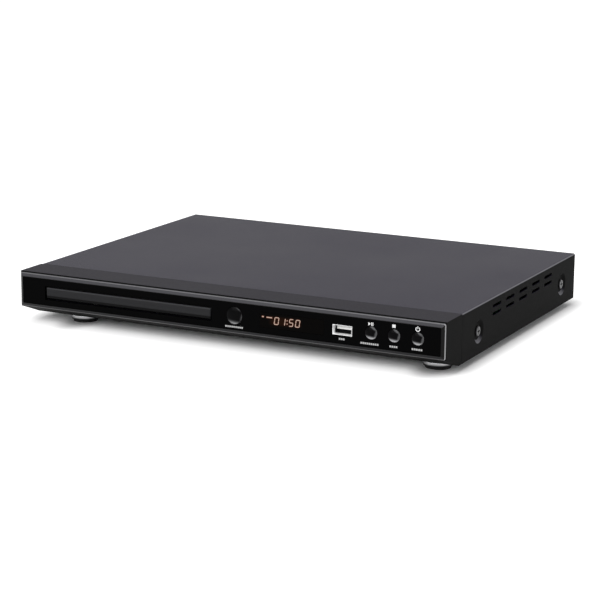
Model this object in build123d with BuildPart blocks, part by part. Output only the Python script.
from build123d import *
import math
import os

os.makedirs("parts", exist_ok=True)

# A low disc player, seen from its front as it stands: +X to the right, +Y to the back, +Z up.
# Z = 0 is the surface it stands on. X = 0 is the middle of the body, and Y = 0 the middle of the depth
# from the button domes to the ends of the rear jacks.

# Body
WIDTH = 340.0  # across the body
DEPTH = 260.0  # from the front face to the back of the cover
BODY_HEIGHT = 35.2  # base to top, without the feet
FOOT_HEIGHT = 5.5  # underside of the pads to the base
SHEET = 1.0  # steel of the cover, base and back
COVER_BEND = 1.5  # outer bend radius of the cover
COVER_GAP = 0.2  # between the cover and what it closes over
SEAM = 0.3  # open joint between the moulded front and the cover

# Moulded front
FLANGE = 27.0  # how far the moulding wraps back over the top and sides
MOULD = 2.2  # its wall
CHIN_RISE = 8.5  # height of the sloping chin
CHIN_RUN = 22.5  # how far back the chin runs at the base
TONGUE = 4.0  # inner lip that carries the cover's front edge
TONGUE_WALL = 1.2

# Raised frame and fascia
FRAME_INSET = 1.0  # step from the body's top edge to the frame
FRAME_SIDE = 0.3  # the same step at its ends
FRAME_FOOT = 0.4  # step at the top of the chin
FRAME_EDGE = 0.6  # square edge of the frame
FRAME_BEVEL = 0.6  # bevel beyond that edge
FRAME_BAND = 2.8  # frame's width at the top and ends
FRAME_BOTTOM = 2.6  # frame's width at the bottom
FRAME_PROUD = 2.4  # inner lip of the frame ahead of the front face
FRAME_CORNER = 1.6
FASCIA_THICK = 1.8
FASCIA_GAP = 0.15  # round the fascia in its frame

# Front features: heights from the middle of the fascia, and gaps in shares of the free width
DOOR_DROP = 0.65
DOOR_WIDTH = 137.6
DOOR_HEIGHT = 8.0
DOOR_THICK = 3.0
DOOR_CHAMFER = 0.6
DOOR_SINK = 0.2  # door face behind the fascia
SLOT_GAP = 1.1  # round the door in its slot
BUTTON_RISE = 0.45
OPEN_DIAMETER = 12.2
KEY_DIAMETER = 9.0
BUTTON_DOME = 1.2  # crown ahead of the fascia
BUTTON_GAP = 0.25  # round each button in its hole
BUTTON_TRAVEL = 0.8
WINDOW_WIDTH = 50.0
WINDOW_HEIGHT = 11.0
LEDGE_WIDTH = 1.0  # ledge of the moulding that the window seats on
USB_DROP = 0.35
USB_WIDTH = 15.2  # opening in the fascia
USB_HEIGHT = 7.5
FRONT_GAPS = (23.2, 13.2, 13.8, 6.1, 9.6, 8.0, 8.4)  # before each feature, left end to power button
FRONT_END = 15.7  # from the power button to the right end
USB_GAP = 0.2  # round the mouth of the shell
USB_FLARE = 1.6  # depth of the flare
USB_SHEET = 0.35
USB_PLUG_WIDTH = 12.5
USB_PLUG_HEIGHT = 5.1
TONGUE_WIDTH = 11.1
TONGUE_THICK = 1.8
TONGUE_DROP = 1.75  # middle of the tongue below the shell's roof
TONGUE_LENGTH = 10.5
SENSOR_SIDE = 1.8  # middle of the sensor beyond the window's end
SENSOR_WIDTH = 5.0
SENSOR_HEIGHT = 7.0
SENSOR_THICK = 4.0
SENSOR_LENS = 2.2

# Cover
VENT_MIDDLE = 145.6  # from the front face to the middle vent column
VENT_PITCH = 26.6
VENT_COLUMNS = 5
VENT_ROW_PITCH = 5.7
VENT_DROP = 9.2  # middle of the pair of rows below the top
VENT_LENGTH = 16.6
VENT_SLOT = 2.4
SIDE_SCREWS = (58.5, 230.5)  # behind the front face
SIDE_SCREW_MID = 16.5  # above the base
DISH_RADIUS = 8.6
DISH_FLOOR = 6.2
DISH_DEPTH = 1.6
REAR_LIP = 7.5
REAR_SCREW_END = 50.0  # outer screws from the body's ends

# Base and back
BASE_EDGE = 6.5  # height of the folded side edges
TAB_WIDTH = 16.0
TAB_TOP = 5.5  # tab above its screw
BASE_VENTS = 7
BASE_VENT_PITCH = 12.0
BASE_VENT_LENGTH = 60.0
BASE_VENT_END = 90.0  # middle of the vents from the right end
BASE_VENT_Y = 118.0
REAR_FOOT = 10.0  # back panel's folded foot on the base
REAR_VENTS = 12
REAR_VENT_PITCH = 8.0
REAR_VENT_END = 100.0  # middle of the vents from the left end
REAR_VENT_MID = 17.0
REAR_VENT_LENGTH = 10.0
HOOK_LENGTH = 9.0  # lugs of the moulding on the base
HOOK_WIDTH = 14.0
HOOK_THICK = 2.0
HOOK_END = 58.0  # outer lugs from the body's ends
HOOK_MIDDLE = 24.0

# Feet
FOOT_RADIUS = 10.5
FOOT_ROUND = 0.8
FOOT_BORE = 2.0  # depth of the screw hole in the cup
FOOT_NAMES = ("front_left", "back_left", "front_right", "back_right")
PAD_RADIUS = 9.0
PAD_THICK = 2.5
PAD_PROUD = 1.5  # pad below its cup
FOOT_LEFT = 57.5  # left of the tray's middle
FOOT_RIGHT = 19.5  # from the right end
FOOT_FRONT = 33.5  # behind the front face
FOOT_BACK = 30.0  # ahead of the back of the cover

# Screws
SCREW_RADIUS = 1.5
SCREW_CLEAR = 0.1
SCREW_LENGTH = 6.0
HEAD_RADIUS = 3.6
HEAD_HEIGHT = 1.5
SMALL_SCREW = 1.2  # shank of the screws inside
SMALL_HEAD = 2.6
SMALL_HEAD_HEIGHT = 1.6
THREAD_PLAY = 0.05
CROSS_WIDTH = 0.9
CROSS_DEPTH = 1.1

# Disc and tray
DISC_BEHIND = 72.0  # disc centre behind the front face
DISC_POCKET = 60.5
SMALL_POCKET = 40.6
POCKET_DEPTH = 1.5
SMALL_POCKET_DEPTH = 0.7
TRAY_WIDTH = 130.0
TRAY_ABOVE = 2.5  # top of the tray above the middle of the door
TRAY_BELOW = 3.5  # bottom of its skirts below it
TRAY_SKIN = 3.2  # rim thickness over the hollow underside
TRAY_SKIRT = 3.0
TRAY_SLOT = 44.0  # open slot for the turntable and the pickup
TRAY_TRAVEL = 134.0
TRAY_HOLD = 6.0  # tray left behind the drive gear's axis when it is out
FINGER_RADIUS = 9.0
TRAY_PLAY = 0.4  # at each side between tray and frame
GUIDE_PLAY = 0.2  # above and below the tray in its guides

# Gear train of the loader
RACK_MODULE = 1.0
RACK_FROM_MIDDLE = 56.0  # pitch line of the rack, left of the tray's middle
DRIVE_TEETH = 20
DRIVE_BEHIND = 38.0  # drive gear axis behind the front face
WHEEL_MODULE = 0.8
WHEEL_TEETH = 44
PINION_TEETH = 12
PINION_BEARING = -30.0  # direction from drive gear to pulley gear, degrees
BACKLASH = 0.16
PRESSURE = math.radians(20)
ROOT = 1.25  # root depth in modules
GEAR_FACE = 4.0
PULLEY_RADIUS = 10.0
MOTOR_PULLEY_RADIUS = 3.0
PULLEY_FACE = 3.0
BELT = 1.2  # square section of the belt
BELT_GAP = 0.1
AXLE_RADIUS = 1.5
AXLE_PLAY = 0.06
MOTOR_RIGHT = 15.0  # loading motor, right of the tray's middle
MOTOR_BEHIND = 34.0
MOTOR_RADIUS = 10.0
MOTOR_FLAT = 7.5
MOTOR_BRIDGE = 1.2
SHAFT_RADIUS = 1.0
SHAFT_AIR = 0.1

BELT_DROP = 1.9  # middle of the belt below the tray
BELT_LIFT = 1.4  # gap between gear and pulley levels
RAIL_SHARE = 0.448  # height of the cam slide's rails, of the room below the big gear

# Loader frame
LUG_REACH = 5.0  # screw centre outside the frame's wall
LUG_FROM_END = 9.0
LUG_RADIUS = 5.0
LUG_THICK = 3.0
FRAME_FRONT = 24.0
FRAME_BACK = 190.0
FRAME_WALL = 3.5
FRAME_FLOOR = 2.0
FRAME_LIFT = 2.0  # below the frame's floor, on the base posts
WELL_HALF = 44.0
WELL_FRONT = 50.5
WELL_BACK = 178.0
LEDGE = 5.0
GUIDE_TAB = 1.5
TAB_PITCH = 46.0
CROSS_WALL = 2.5
CROSS_RISE = 7.5
EAR_AIR = 0.5
BRIDGE_LEG = 2.0
RIB = 1.3
PILOT_RADIUS = 1.0

# Traverse deck
DECK_DEPTH = 5.2  # underside of the deck below the underside of the tray
DECK_THICK = 1.6
DECK_HALF = 42.0
DECK_FRONT = 48.5
DECK_BACK = 174.0
PIVOT_BEHIND = 170.0
PIVOT_RADIUS = 2.0
PIVOT_EAR = 4.0
DECK_DROP = 1.8  # degrees that the deck tilts down
CAM_TRAVEL = 14.0
CAM_BEHIND = 45.4
CAM_THICK = 1.6
CAM_MIDDLE = 4.0  # middle of the cam slide from the tray's middle
CAM_WIDTH = 58.0
CAM_PINS = (-8.0, 28.0)  # from the tray's middle
CAM_PIN_RADIUS = 1.5
CAM_PLAY = 0.08
SPINDLE_RADIUS = 12.0
TABLE_RADIUS = 15.0
HUB_RADIUS = 7.3
SLED_START = 24.0  # lens to spindle at the inner end
SLED_TRAVEL = 34.0
SLED_LEAD = 5.0  # front of the sled ahead of the lens
DISC_LIFT = 0.3  # disc on the turntable above its pocket
SLED_LENGTH = 26.0
WINDOW_HALF = 24.0
ROD_HALF = 30.0
ROD_RADIUS = 1.5
ROD_DROP = 2.0  # rod axis below the deck's underside
SCREW_SIDE = 37.5
LEAD_RADIUS = 1.25
DECK_CORNER = 3.0
SPINDLE_HOLE = 3.5
SPINDLE_DEPTH = 5.5
TABLE_AIR = 0.6
TABLE_BOSS = 5.0
TABLE_THICK = 1.4
HUB_SLOPE = 1.2
HUB_RISE = 1.6  # hub above the disc seat
ROD_BLOCK = 4.0
SLED_MOTOR_RADIUS = 5.0
SLED_MOTOR_LENGTH = 9.0
LENS_BLOCK = 20.0
LENS_RADIUS = 2.6
LENS_RISE = 1.8
LENS_BELOW = 2.0  # lens below the disc seat

# Clamp
BRIDGE_WIDTH = 36.0
BRIDGE_THICK = 1.0
BRIDGE_SCREW = 5.0  # screw from the bridge's edge
BRIDGE_BEAD = 1.0
BRIDGE_SINK = 5.3  # underside of the bridge below the cover
CLAMP_HOLE = 12.0
CLAMP_PLAY = 0.3
CLAMP_FLANGE = 15.0
CLAMP_RIM = 1.2
CLAMP_AIR = 0.8  # between the clamper and the tray's top

# Front board and its posts
FRONT_BOARD_BEHIND = 13.0
BOARD_SHARE = 0.3  # board's left end, of the room from the tray to the open button
POST_SHARE = 0.535  # left posts, of the same room
FRONT_BOARD_CLEAR = 2.0  # inside the moulding's flank
FRONT_BOARD_FOOT = 5.5  # above the base, clear of the chin
FRONT_BOARD_HEAD = 2.5  # below the top strip
POST_RADIUS = 3.2
POST_EDGE = 4.0
SWITCH_SIDE = 6.0
SWITCH_THICK = 3.6
PLUNGER_RADIUS = 1.6
PLUNGER_PROUD = 1.2
STEM_RADIUS = 2.0
STEM_AIR = 0.1  # left between a pressed button and its switch
COLLAR_THICK = 1.2
COLLAR_RIM = 1.2

# Boards and rear sockets
BOARD = 1.6
BOARD_LIFT = 6.0
BOARD_GAP = 7.0  # from the loader to the boards
MAIN_BOARD_END = 10.0  # right edge from the body's right end
MAIN_BOARD_DEPTH = 106.0
MAIN_BOARD_BACK = 4.0  # back edge from the back of the cover
POWER_BOARD_END = 12.0
POWER_BOARD_WIDTH = 148.0
POWER_BOARD_BACK = 8.0
STANDOFF_RADIUS = 3.0
STANDOFF_BORE = 1.25
BOARD_EDGE = 5.0
INLET_END = 35.0  # middle of the inlet from the left end
INLET_WIDTH = 22.0
INLET_HEIGHT = 12.5
INLET_DEPTH = 16.0
INLET_HOLLOW = (14.8, 8.2, 11.0)
INLET_PIN = 1.18
INLET_PITCH = 8.6
INLET_RIM = 1.5
HDMI_END = 62.0  # middle of the socket from the right end
HDMI_WIDTH = 14.6
HDMI_HEIGHT = 5.4
HDMI_DEPTH = 12.0
HDMI_HOLLOW = 9.0  # depth of the socket's mouth
HDMI_BLADE = 10.22  # width of the contact blade
HDMI_BLADE_THICK = 1.08
HDMI_CORNER = 1.35  # cut corners of the shell's lower side
HDMI_WALL = 0.4
CHIP_SHIFT = (-14.0, -3.0)  # from the middle of its board
CHIP_SIDE = 26.0
CHIP_THICK = 1.6
SINK_HEIGHT = 9.0
SINK_FINS = 7
SINK_FIN = 1.2
SINK_FLOOR = 2.0
PLUG_SHIFT = -24.0  # from the middle of the main board
PLUG_WIDTH = 22.0
PLUG_DEPTH = 5.0
PLUG_HEIGHT = 5.0
RIBBON_WIDTH = 18.0
RIBBON_THICK = 0.4
RIBBON_SINK = 3.8  # below the cover
RIBBON_BEND = 6.0
RIBBON_REACH = 15.0
TRANSFORMER_SHIFT = (24.0, -2.5)  # from the middle of its board
TRANSFORMER_WIDTH = 26.0
TRANSFORMER_DEPTH = 15.6
TRANSFORMER_COIL = 10.4  # radius of the winding
TRANSFORMER_HEIGHT = 18.0
TRANSFORMER_BOBBIN = 4.0  # core above the winding
CAPACITORS = (  # shift from the middle of the power board, radius and height
    (-26.0, -12.5, 6.3, 19.0),
    (-10.0, 11.5, 5.0, 14.0),
    (52.0, -14.5, 4.0, 12.0),
    (52.0, 11.5, 4.0, 12.0),
)
SOCKET_GAP = 0.3  # round a socket in the back panel
JACK_COLOURS = ("yellow", "white", "red")
JACK_PITCH = 16.0
JACK_SHIFT = -28.0  # middle jack from the middle of the main board
JACK_RADIUS = 4.15
JACK_ROOM = 0.6  # round a jack in the back panel
JACK_PROUD = 8.5  # ahead of the back of the cover
JACK_BORE = 1.6
JACK_RISE = 7.4  # jack above its board
JACK_WALL = 0.8
JACK_DEPTH = 13.0
JACK_MARGIN = 8.0

# Levels and places that follow
base_z = FOOT_HEIGHT
top_z = base_z + BODY_HEIGHT
floor_z = base_z + SHEET
chin_z = base_z + CHIN_RISE
button_proud = FASCIA_THICK + BUTTON_DOME
front_proud = max(button_proud, FRAME_PROUD)
front = -(DEPTH + JACK_PROUD - front_proud) / 2
back = front + DEPTH
half = WIDTH / 2
frame_low = chin_z + FRAME_FOOT
frame_high = top_z - FRAME_INSET
window_low = frame_low + FRAME_BOTTOM
window_high = frame_high - FRAME_BAND
window_mid = (window_low + window_high) / 2
door_z = window_mid - DOOR_DROP
button_z = window_mid + BUTTON_RISE
window_z = window_mid
usb_z = window_mid - USB_DROP

# Places along the front: each feature keeps its size and the gaps share what is left
front_sizes = (DOOR_WIDTH, OPEN_DIAMETER, WINDOW_WIDTH, USB_WIDTH, KEY_DIAMETER, KEY_DIAMETER, KEY_DIAMETER)
share = (WIDTH - FRONT_END - sum(front_sizes)) / sum(FRONT_GAPS)
front_places = [
    -half + share * sum(FRONT_GAPS[: n + 1]) + sum(front_sizes[:n]) + size / 2
    for n, size in enumerate(front_sizes)
]
door_x, open_x, window_x, usb_x, play_x, stop_x, power_x = front_places
sensor_x = window_x + WINDOW_WIDTH / 2 + SENSOR_SIDE
screw_hole = SCREW_RADIUS + SCREW_CLEAR
front_reach = front + FLANGE
skin_top = top_z - SHEET - COVER_GAP  # what the cover closes over
skin_half = half - SHEET - COVER_GAP
foot_places = [
    (x, y) for x in (door_x - FOOT_LEFT, half - FOOT_RIGHT) for y in (front + FOOT_FRONT, back - FOOT_BACK)
]
dish_z = base_z + SIDE_SCREW_MID
tab_face = half - SHEET - DISH_DEPTH - SCREW_CLEAR  # where a side screw seats inside
rear_face = back - SHEET - COVER_GAP
lip_mid = top_z - REAR_LIP / 2
hook_places = [(x, front_reach + TONGUE) for x in (HOOK_END - half, HOOK_MIDDLE, half - HOOK_END)]
rear_screws = (REAR_SCREW_END - half, 0.0, half - REAR_SCREW_END)
rear_foot_places = [(x, rear_face - REAR_FOOT / 2) for x in rear_screws]
base_start = front_reach + SEAM

# Front board
board_y = front + FRONT_BOARD_BEHIND
tray_end = door_x + TRAY_WIDTH / 2
front_room = open_x - OPEN_DIAMETER / 2 - tray_end
front_board_left = tray_end + BOARD_SHARE * front_room
front_board_right = half - MOULD - FRONT_BOARD_CLEAR
front_board_low = floor_z + FRONT_BOARD_FOOT
front_board_high = top_z - MOULD - FRONT_BOARD_HEAD
front_board_mid = ((front_board_left + front_board_right) / 2, (front_board_low + front_board_high) / 2)
post_places = [
    (x, z)
    for x in (tray_end + POST_SHARE * front_room, front_board_right - POST_EDGE)
    for z in (front_board_low + POST_EDGE, front_board_high - POST_EDGE)
]

# Tray and loader
tray_top = door_z + TRAY_ABOVE
tray_low = door_z - TRAY_BELOW
tray_under = tray_top - TRAY_SKIN
tray_front = front - FASCIA_THICK + DOOR_SINK + DOOR_THICK
tray_back = front + DRIVE_BEHIND + TRAY_TRAVEL + TRAY_HOLD
tray_half = TRAY_WIDTH / 2
disc_y = front + DISC_BEHIND
frame_under = floor_z + FRAME_LIFT
frame_floor = frame_under + FRAME_FLOOR
wall_in = tray_half + TRAY_PLAY
wall_out = wall_in + FRAME_WALL
wall_top = tray_top + GUIDE_PLAY + GUIDE_TAB
loader_front = front + FRAME_FRONT
loader_back = front + FRAME_BACK
lug_places = [
    (door_x + side * (wall_out + LUG_REACH), y)
    for side in (-1, 1)
    for y in (loader_front + LUG_FROM_END, loader_back - LUG_FROM_END)
]

# Boards
board_z = floor_z + BOARD_LIFT
board_top = board_z + BOARD
main_left = door_x + wall_out + LUG_REACH + LUG_RADIUS + BOARD_GAP
main_right = half - MAIN_BOARD_END
main_back = back - MAIN_BOARD_BACK
main_front = main_back - MAIN_BOARD_DEPTH
main_x = (main_left + main_right) / 2
main_y = (main_front + main_back) / 2
power_left = POWER_BOARD_END - half
power_right = power_left + POWER_BOARD_WIDTH
power_front = loader_back + BOARD_GAP
power_back = back - POWER_BOARD_BACK
power_board_x = (power_left + power_right) / 2
power_board_y = (power_front + power_back) / 2
main_corners = [
    (x, y)
    for x in (main_left + BOARD_EDGE, main_right - BOARD_EDGE)
    for y in (main_front + BOARD_EDGE, main_back - BOARD_EDGE)
]
power_corners = [
    (x, y)
    for x in (power_left + BOARD_EDGE, power_right - BOARD_EDGE)
    for y in (power_front + BOARD_EDGE, power_back - BOARD_EDGE)
]
jack_z = board_top + JACK_RISE
inlet_z = board_top + INLET_HEIGHT / 2
hdmi_z = board_top + HDMI_HEIGHT / 2
jack_x = main_x + JACK_SHIFT
jack_places = [(jack_x + JACK_PITCH * (n - 1), jack_z) for n in range(len(JACK_COLOURS))]
hdmi_x = half - HDMI_END
inlet_x = INLET_END - half
plug_x = main_x + PLUG_SHIFT

# Gears
rack_x = door_x - RACK_FROM_MIDDLE
rack_start = tray_front + TRAY_SKIRT
rack_teeth = int((tray_back - rack_start) / (math.pi * RACK_MODULE)) - 1
drive_radius = RACK_MODULE * DRIVE_TEETH / 2
wheel_radius = WHEEL_MODULE * WHEEL_TEETH / 2
pinion_radius = WHEEL_MODULE * PINION_TEETH / 2
drive_x = rack_x + drive_radius
drive_y = front + DRIVE_BEHIND
bearing = math.radians(PINION_BEARING)
pulley_x = drive_x + (wheel_radius + pinion_radius) * math.cos(bearing)
pulley_y = drive_y + (wheel_radius + pinion_radius) * math.sin(bearing)
motor_x = door_x + MOTOR_RIGHT
motor_y = front + MOTOR_BEHIND
belt_z = tray_low - BELT_DROP
wheel_z = belt_z - PULLEY_FACE / 2 - BELT_LIFT - GEAR_FACE
drive_top = tray_under - GUIDE_PLAY
axle_hole = AXLE_RADIUS + AXLE_PLAY

# Traverse deck
deck_z = tray_low - DECK_DEPTH
deck_top = deck_z + DECK_THICK
pivot_y = front + PIVOT_BEHIND
pivot_z = deck_z + DECK_THICK / 2
pin_drop = (PIVOT_BEHIND - CAM_BEHIND) * math.tan(math.radians(DECK_DROP))
rod_z = deck_z - ROD_DROP
sled_front = disc_y + SLED_START - SLED_LEAD
sled_back = sled_front + SLED_LENGTH
seat_z = tray_top - POCKET_DEPTH + DISC_LIFT
hub_top = seat_z + HUB_RISE
lens_top = seat_z - LENS_BELOW
window_front = sled_front - 2 * EAR_AIR
window_back = sled_back + SLED_TRAVEL + 2 * EAR_AIR
rod_front = window_front - ROD_BLOCK
rod_back = window_back + ROD_BLOCK
sled_motor_y = rod_back + EAR_AIR
bridge_z = skin_top - BRIDGE_SINK
clamp_low = tray_top + CLAMP_AIR
bridge_screws = [
    (door_x + side * (wall_out - FRAME_WALL / 2), disc_y + end * (BRIDGE_WIDTH / 2 - BRIDGE_SCREW))
    for side in (-1, 1)
    for end in (-1, 1)
]
cam_y = front + CAM_BEHIND


def facing_front(y):
    """Upright plane at y, looking out of the front; its sketch axes are X and Z."""
    return Plane.XZ.offset(-y)


def facing_right(x):
    """Upright plane at x, looking to the right; its sketch axes are Y and Z."""
    return Plane.YZ.offset(x)


# Moulded front: top strip, flanks and chin in one shell, with the lip that carries the cover
with BuildPart() as front_panel:
    with BuildSketch(facing_right(0)):
        with BuildLine():
            Polyline(
                (front, chin_z),
                (front, top_z),
                (front_reach, top_z),
                (front_reach, base_z),
                (front + CHIN_RUN, base_z),
                close=True,
            )
        make_face()
    extrude(amount=half, both=True)
    offset(amount=-MOULD, openings=front_panel.faces().sort_by(Axis.Y)[-1])
    with BuildSketch(facing_front(front_reach + TONGUE)):
        with Locations((0, (floor_z + skin_top) / 2)):
            Rectangle(2 * skin_half, skin_top - floor_z)
        with Locations((0, (floor_z + skin_top - TONGUE_WALL) / 2)):
            Rectangle(
                2 * (skin_half - TONGUE_WALL), skin_top - TONGUE_WALL - floor_z, mode=Mode.SUBTRACT
            )
    extrude(amount=2 * TONGUE)
    with BuildSketch(facing_front(front + MOULD)):
        with Locations(*post_places):
            Circle(POST_RADIUS)
    extrude(amount=-(FRONT_BOARD_BEHIND - MOULD))
    with BuildSketch(facing_front(board_y)):
        with Locations(*post_places):
            Circle(STANDOFF_BORE)
    extrude(amount=FRONT_BOARD_BEHIND - MOULD, mode=Mode.SUBTRACT)
    with BuildSketch(Plane.XY.offset(floor_z)):
        with Locations(*hook_places):
            Rectangle(HOOK_WIDTH, 2 * HOOK_LENGTH)
            Circle(SCREW_RADIUS, mode=Mode.SUBTRACT)
    extrude(amount=HOOK_THICK)
    with BuildSketch(facing_front(front)):
        with Locations((door_x, door_z)):
            Rectangle(DOOR_WIDTH + 2 * SLOT_GAP, DOOR_HEIGHT + 2 * SLOT_GAP)
        with Locations((open_x, button_z)):
            Circle(OPEN_DIAMETER / 2 + BUTTON_GAP)
        with Locations((play_x, button_z), (stop_x, button_z), (power_x, button_z)):
            Circle(KEY_DIAMETER / 2 + BUTTON_GAP)
        with Locations((window_x, window_z)):
            Rectangle(WINDOW_WIDTH - 2 * LEDGE_WIDTH, WINDOW_HEIGHT - 2 * LEDGE_WIDTH)
        with Locations((usb_x, usb_z)):
            Rectangle(USB_WIDTH, USB_HEIGHT)
    extrude(amount=-MOULD, mode=Mode.SUBTRACT)
front_panel.part.label = "front_panel"
export_step(front_panel.part, "parts/front_panel.step")

# Raised frame: square edge, bevel, then a band that rises to the inner lip
frame_width = WIDTH - 2 * FRAME_SIDE
frame_mid = (frame_low + frame_high) / 2
frame_tall = frame_high - frame_low
inner_width = frame_width - 2 * FRAME_BAND
inner_tall = window_high - window_low
bevel_width = frame_width - 2 * FRAME_BEVEL
bevel_tall = frame_tall - 2 * FRAME_BEVEL
inner_corner = FRAME_CORNER / 2
with BuildPart() as fascia_frame:
    with BuildSketch(facing_front(front)):
        with Locations((0, frame_mid)):
            RectangleRounded(frame_width, frame_tall, FRAME_CORNER)
    extrude(amount=FRAME_EDGE)
    with BuildSketch(facing_front(front - FRAME_EDGE)):
        with Locations((0, frame_mid)):
            RectangleRounded(frame_width, frame_tall, FRAME_CORNER)
    with BuildSketch(facing_front(front - FRAME_EDGE - FRAME_BEVEL)):
        with Locations((0, frame_mid)):
            RectangleRounded(bevel_width, bevel_tall, inner_corner)
    loft(ruled=True)
    with BuildSketch(facing_front(front - FRAME_EDGE - FRAME_BEVEL)):
        with Locations((0, frame_mid)):
            RectangleRounded(bevel_width, bevel_tall, inner_corner)
    with BuildSketch(facing_front(front - FRAME_PROUD)):
        with Locations((0, window_mid)):
            RectangleRounded(inner_width, inner_tall, inner_corner)
    loft(ruled=True)
    with BuildSketch(facing_front(front)):
        with Locations((0, window_mid)):
            RectangleRounded(inner_width, inner_tall, inner_corner)
    extrude(amount=FRAME_PROUD, mode=Mode.SUBTRACT)
fascia_frame.part.label = "fascia_frame"
export_step(fascia_frame.part, "parts/fascia_frame.step")

# Fascia: gloss plate in the frame, with an opening for everything that passes it
with BuildPart() as fascia:
    with BuildSketch(facing_front(front)):
        with Locations((0, window_mid)):
            RectangleRounded(inner_width - 2 * FASCIA_GAP, inner_tall - 2 * FASCIA_GAP, inner_corner)
        with Locations((door_x, door_z)):
            Rectangle(DOOR_WIDTH + 2 * SLOT_GAP, DOOR_HEIGHT + 2 * SLOT_GAP, mode=Mode.SUBTRACT)
        with Locations((open_x, button_z)):
            Circle(OPEN_DIAMETER / 2 + BUTTON_GAP, mode=Mode.SUBTRACT)
        with Locations((play_x, button_z), (stop_x, button_z), (power_x, button_z)):
            Circle(KEY_DIAMETER / 2 + BUTTON_GAP, mode=Mode.SUBTRACT)
        with Locations((window_x, window_z)):
            Rectangle(WINDOW_WIDTH, WINDOW_HEIGHT, mode=Mode.SUBTRACT)
        with Locations((usb_x, usb_z)):
            Rectangle(USB_WIDTH, USB_HEIGHT, mode=Mode.SUBTRACT)
    extrude(amount=FASCIA_THICK)
fascia.part.label = "fascia"
export_step(fascia.part, "parts/fascia.step")

# Smoked window over the readout, flush with the fascia, seated on the ledge of the moulding
with BuildPart() as display_window:
    with BuildSketch(facing_front(front)):
        with Locations((window_x, window_z)):
            Rectangle(WINDOW_WIDTH - 2 * FASCIA_GAP, WINDOW_HEIGHT - 2 * FASCIA_GAP)
    extrude(amount=FASCIA_THICK)
display_window.part.label = "display_window"
export_step(display_window.part, "parts/display_window.step")

# Front board on the posts of the moulding
with BuildPart() as front_board:
    with BuildSketch(facing_front(board_y)):
        with Locations(front_board_mid):
            Rectangle(front_board_right - front_board_left, front_board_high - front_board_low)
        with Locations(*post_places):
            Circle(screw_hole, mode=Mode.SUBTRACT)
    extrude(amount=-BOARD)
front_board.part.label = "front_board"
export_step(front_board.part, "parts/front_board.step")

# Buttons: crowned cap, collar behind the moulding and a stem that reaches for the switch
switch_face = board_y - SWITCH_THICK - PLUNGER_PROUD
collar_y = front + MOULD + BUTTON_GAP
for name, x, diameter in (
    ("open_button", open_x, OPEN_DIAMETER),
    ("play_button", play_x, KEY_DIAMETER),
    ("stop_button", stop_x, KEY_DIAMETER),
    ("power_button", power_x, KEY_DIAMETER),
):
    with BuildPart() as button:
        with BuildSketch(facing_right(x)):
            with BuildLine():
                Line((front - FASCIA_THICK, button_z), (front - button_proud, button_z))
                ThreePointArc(
                    (front - button_proud, button_z),
                    (front - FASCIA_THICK - BUTTON_DOME * 3 / 4, button_z + diameter / 4),
                    (front - FASCIA_THICK, button_z + diameter / 2),
                )
                Polyline(
                    (front - FASCIA_THICK, button_z + diameter / 2),
                    (collar_y, button_z + diameter / 2),
                    (collar_y, button_z + diameter / 2 + COLLAR_RIM),
                    (collar_y + COLLAR_THICK, button_z + diameter / 2 + COLLAR_RIM),
                    (collar_y + COLLAR_THICK, button_z + STEM_RADIUS),
                    (switch_face - BUTTON_TRAVEL - STEM_AIR, button_z + STEM_RADIUS),
                    (switch_face - BUTTON_TRAVEL - STEM_AIR, button_z),
                    (front - FASCIA_THICK, button_z),
                )
            make_face()
        revolve(axis=Axis((x, 0, button_z), (0, 1, 0)))
    button.part.label = name
    export_step(button.part, f"parts/{name}.step")

# Four switches, one behind each button
with BuildPart() as tact_switches:
    with BuildSketch(facing_front(board_y)):
        with Locations((open_x, button_z), (play_x, button_z), (stop_x, button_z), (power_x, button_z)):
            Rectangle(SWITCH_SIDE, SWITCH_SIDE)
    extrude(amount=SWITCH_THICK)
    with BuildSketch(facing_front(board_y - SWITCH_THICK)):
        with Locations((open_x, button_z), (play_x, button_z), (stop_x, button_z), (power_x, button_z)):
            Circle(PLUNGER_RADIUS)
    extrude(amount=PLUNGER_PROUD)
tact_switches.part.label = "tact_switches"
export_step(tact_switches.part, "parts/tact_switches.step")

# Readout module behind its window
with BuildPart() as display_module:
    with BuildSketch(facing_front(board_y)):
        with Locations((window_x, window_z)):
            Rectangle(WINDOW_WIDTH - 2 * LEDGE_WIDTH - 2, WINDOW_HEIGHT - 2 * LEDGE_WIDTH - 1)
    extrude(amount=FRONT_BOARD_BEHIND - MOULD)
display_module.part.label = "display_module"
export_step(display_module.part, "parts/display_module.step")

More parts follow.
